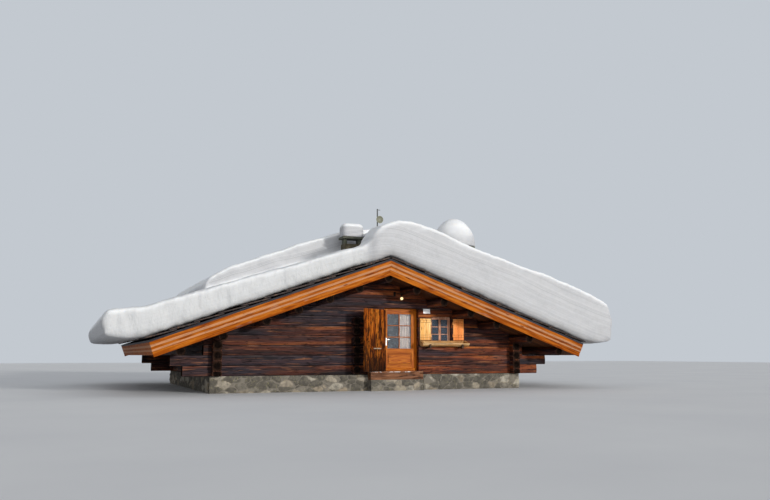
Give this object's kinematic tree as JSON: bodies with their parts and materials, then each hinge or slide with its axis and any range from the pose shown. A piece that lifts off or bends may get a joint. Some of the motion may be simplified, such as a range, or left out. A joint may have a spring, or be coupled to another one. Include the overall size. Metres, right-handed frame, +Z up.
{
  "type": "alpine log chalet",
  "caption": "Low log chalet with a broad stone-slab gable roof under deep snow, a half-glazed door, an outer plank door and a shuttered window.",
  "frame": {"origin": "on the ground under the middle of the house, at the lowest level of the stone plinth", "axes": "+Z up, -Y out of the front gable with the doors, +X to the right seen from the front"},
  "size_m": [16.8, 11.62, 6.87],
  "materials": {
    "hewn_logs": "weathered dark hewn logs",
    "purlin_wood": "dark round timber",
    "pine_boards": "bright oiled pine",
    "soffit_wood": "sawn boards",
    "roof_deck": "blue-black lining boards",
    "roof_stone": "split stone",
    "plinth_stone": "rubble stone in lime mortar",
    "floor_wood": "planed boards",
    "step_wood": "worn dark beam",
    "door_pine": "varnished orange pine",
    "door_glass": "clear glass",
    "door_steel": "brushed",
    "curtain_cloth": "thin white cloth",
    "old_planks": "rough sun-browned planks",
    "wrought_iron": "black iron",
    "window_wood": "weathered red-brown paint",
    "shutter_pine": "pale pine",
    "trough_wood": "peeled log",
    "bulb_glass": "milk glass",
    "plate_enamel": "white enamel",
    "chimney_stone": "rendered masonry",
    "cap_stone": "grey stone",
    "mast_steel": "dull grey",
    "dish_paint": "olive grey",
    "snow": "settled snow"
  },
  "bodies": {
    "root": {"back_gable": "hewn_logs", "back_wall": "hewn_logs", "blank_plate": "plate_enamel", "cross_wall_log_ends": "hewn_logs", "dish_mast": "mast_steel", "door_frame": "door_pine", "door_step": "step_wood", "eave_boards": "pine_boards", "floor_boards": "floor_wood", "flower_trough": "trough_wood", "front_gable": "hewn_logs", "front_wall_left": "hewn_logs", "front_wall_right": "hewn_logs", "hinge_pins": "wrought_iron", "lamp_bulb": "bulb_glass", "left_chimney_slab": "cap_stone", "left_chimney_snow": "snow", "left_chimney_stack": "chimney_stone", "left_purlins": "purlin_wood", "left_rafters": "soffit_wood", "left_roof_deck": "roof_deck", "left_roof_slabs": "roof_stone", "left_soffit_boards": "soffit_wood", "left_thick_snow": "snow", "left_thin_snow": "snow", "left_wall": "hewn_logs", "lower_bargeboards": "pine_boards", "middle_bargeboards": "pine_boards", "plinth_back": "plinth_stone", "plinth_front": "plinth_stone", "plinth_sides": "plinth_stone", "ridge_purlin": "purlin_wood", "right_chimney_slab": "cap_stone", "right_chimney_snow": "snow", "right_chimney_stack": "chimney_stone", "right_purlins": "purlin_wood", "right_rafters": "soffit_wood", "right_roof_deck": "roof_deck", "right_roof_slabs": "roof_stone", "right_roof_snow": "snow", "right_soffit_boards": "soffit_wood", "right_wall": "hewn_logs", "small_dish": "dish_paint", "trough_brackets": "trough_wood", "upper_bargeboards": "pine_boards", "wall_lamp_arm": "wrought_iron", "window_casements": "window_wood", "window_frames": "window_wood", "window_glass": "door_glass"},
    "front_door": {"front_door_leaf": "door_pine", "front_door_glass": "door_glass", "front_door_handle": "door_steel", "door_curtain": "curtain_cloth", "curtain_rod": "door_steel"},
    "outer_door": {"outer_door_planks": "old_planks", "outer_door_battens": "old_planks", "outer_door_pull": "old_planks"},
    "left_shutter": {"left_shutter": "shutter_pine"},
    "right_shutter": {"right_shutter": "shutter_pine"}
  },
  "joints": [
    {"name": "front_door_hinge", "type": "hinge", "parent": "root", "child": "front_door", "pos_m": [1.437, -4.246, 1.6], "axis": [0, 0, 1], "range_deg": [-95, 0]},
    {"name": "outer_door_hinge", "type": "hinge", "parent": "root", "child": "outer_door", "pos_m": [0.28, -4.532, 1.6], "axis": [0, 0, 1], "range_deg": [-17, 145]},
    {"name": "left_shutter_hinge", "type": "hinge", "parent": "root", "child": "left_shutter", "pos_m": [1.945, -4.536, 1.85], "axis": [0, 0, 1], "range_deg": [0, 180]},
    {"name": "right_shutter_hinge", "type": "hinge", "parent": "root", "child": "right_shutter", "pos_m": [2.755, -4.536, 1.85], "axis": [0, 0, -1], "range_deg": [0, 180]}
  ]
}
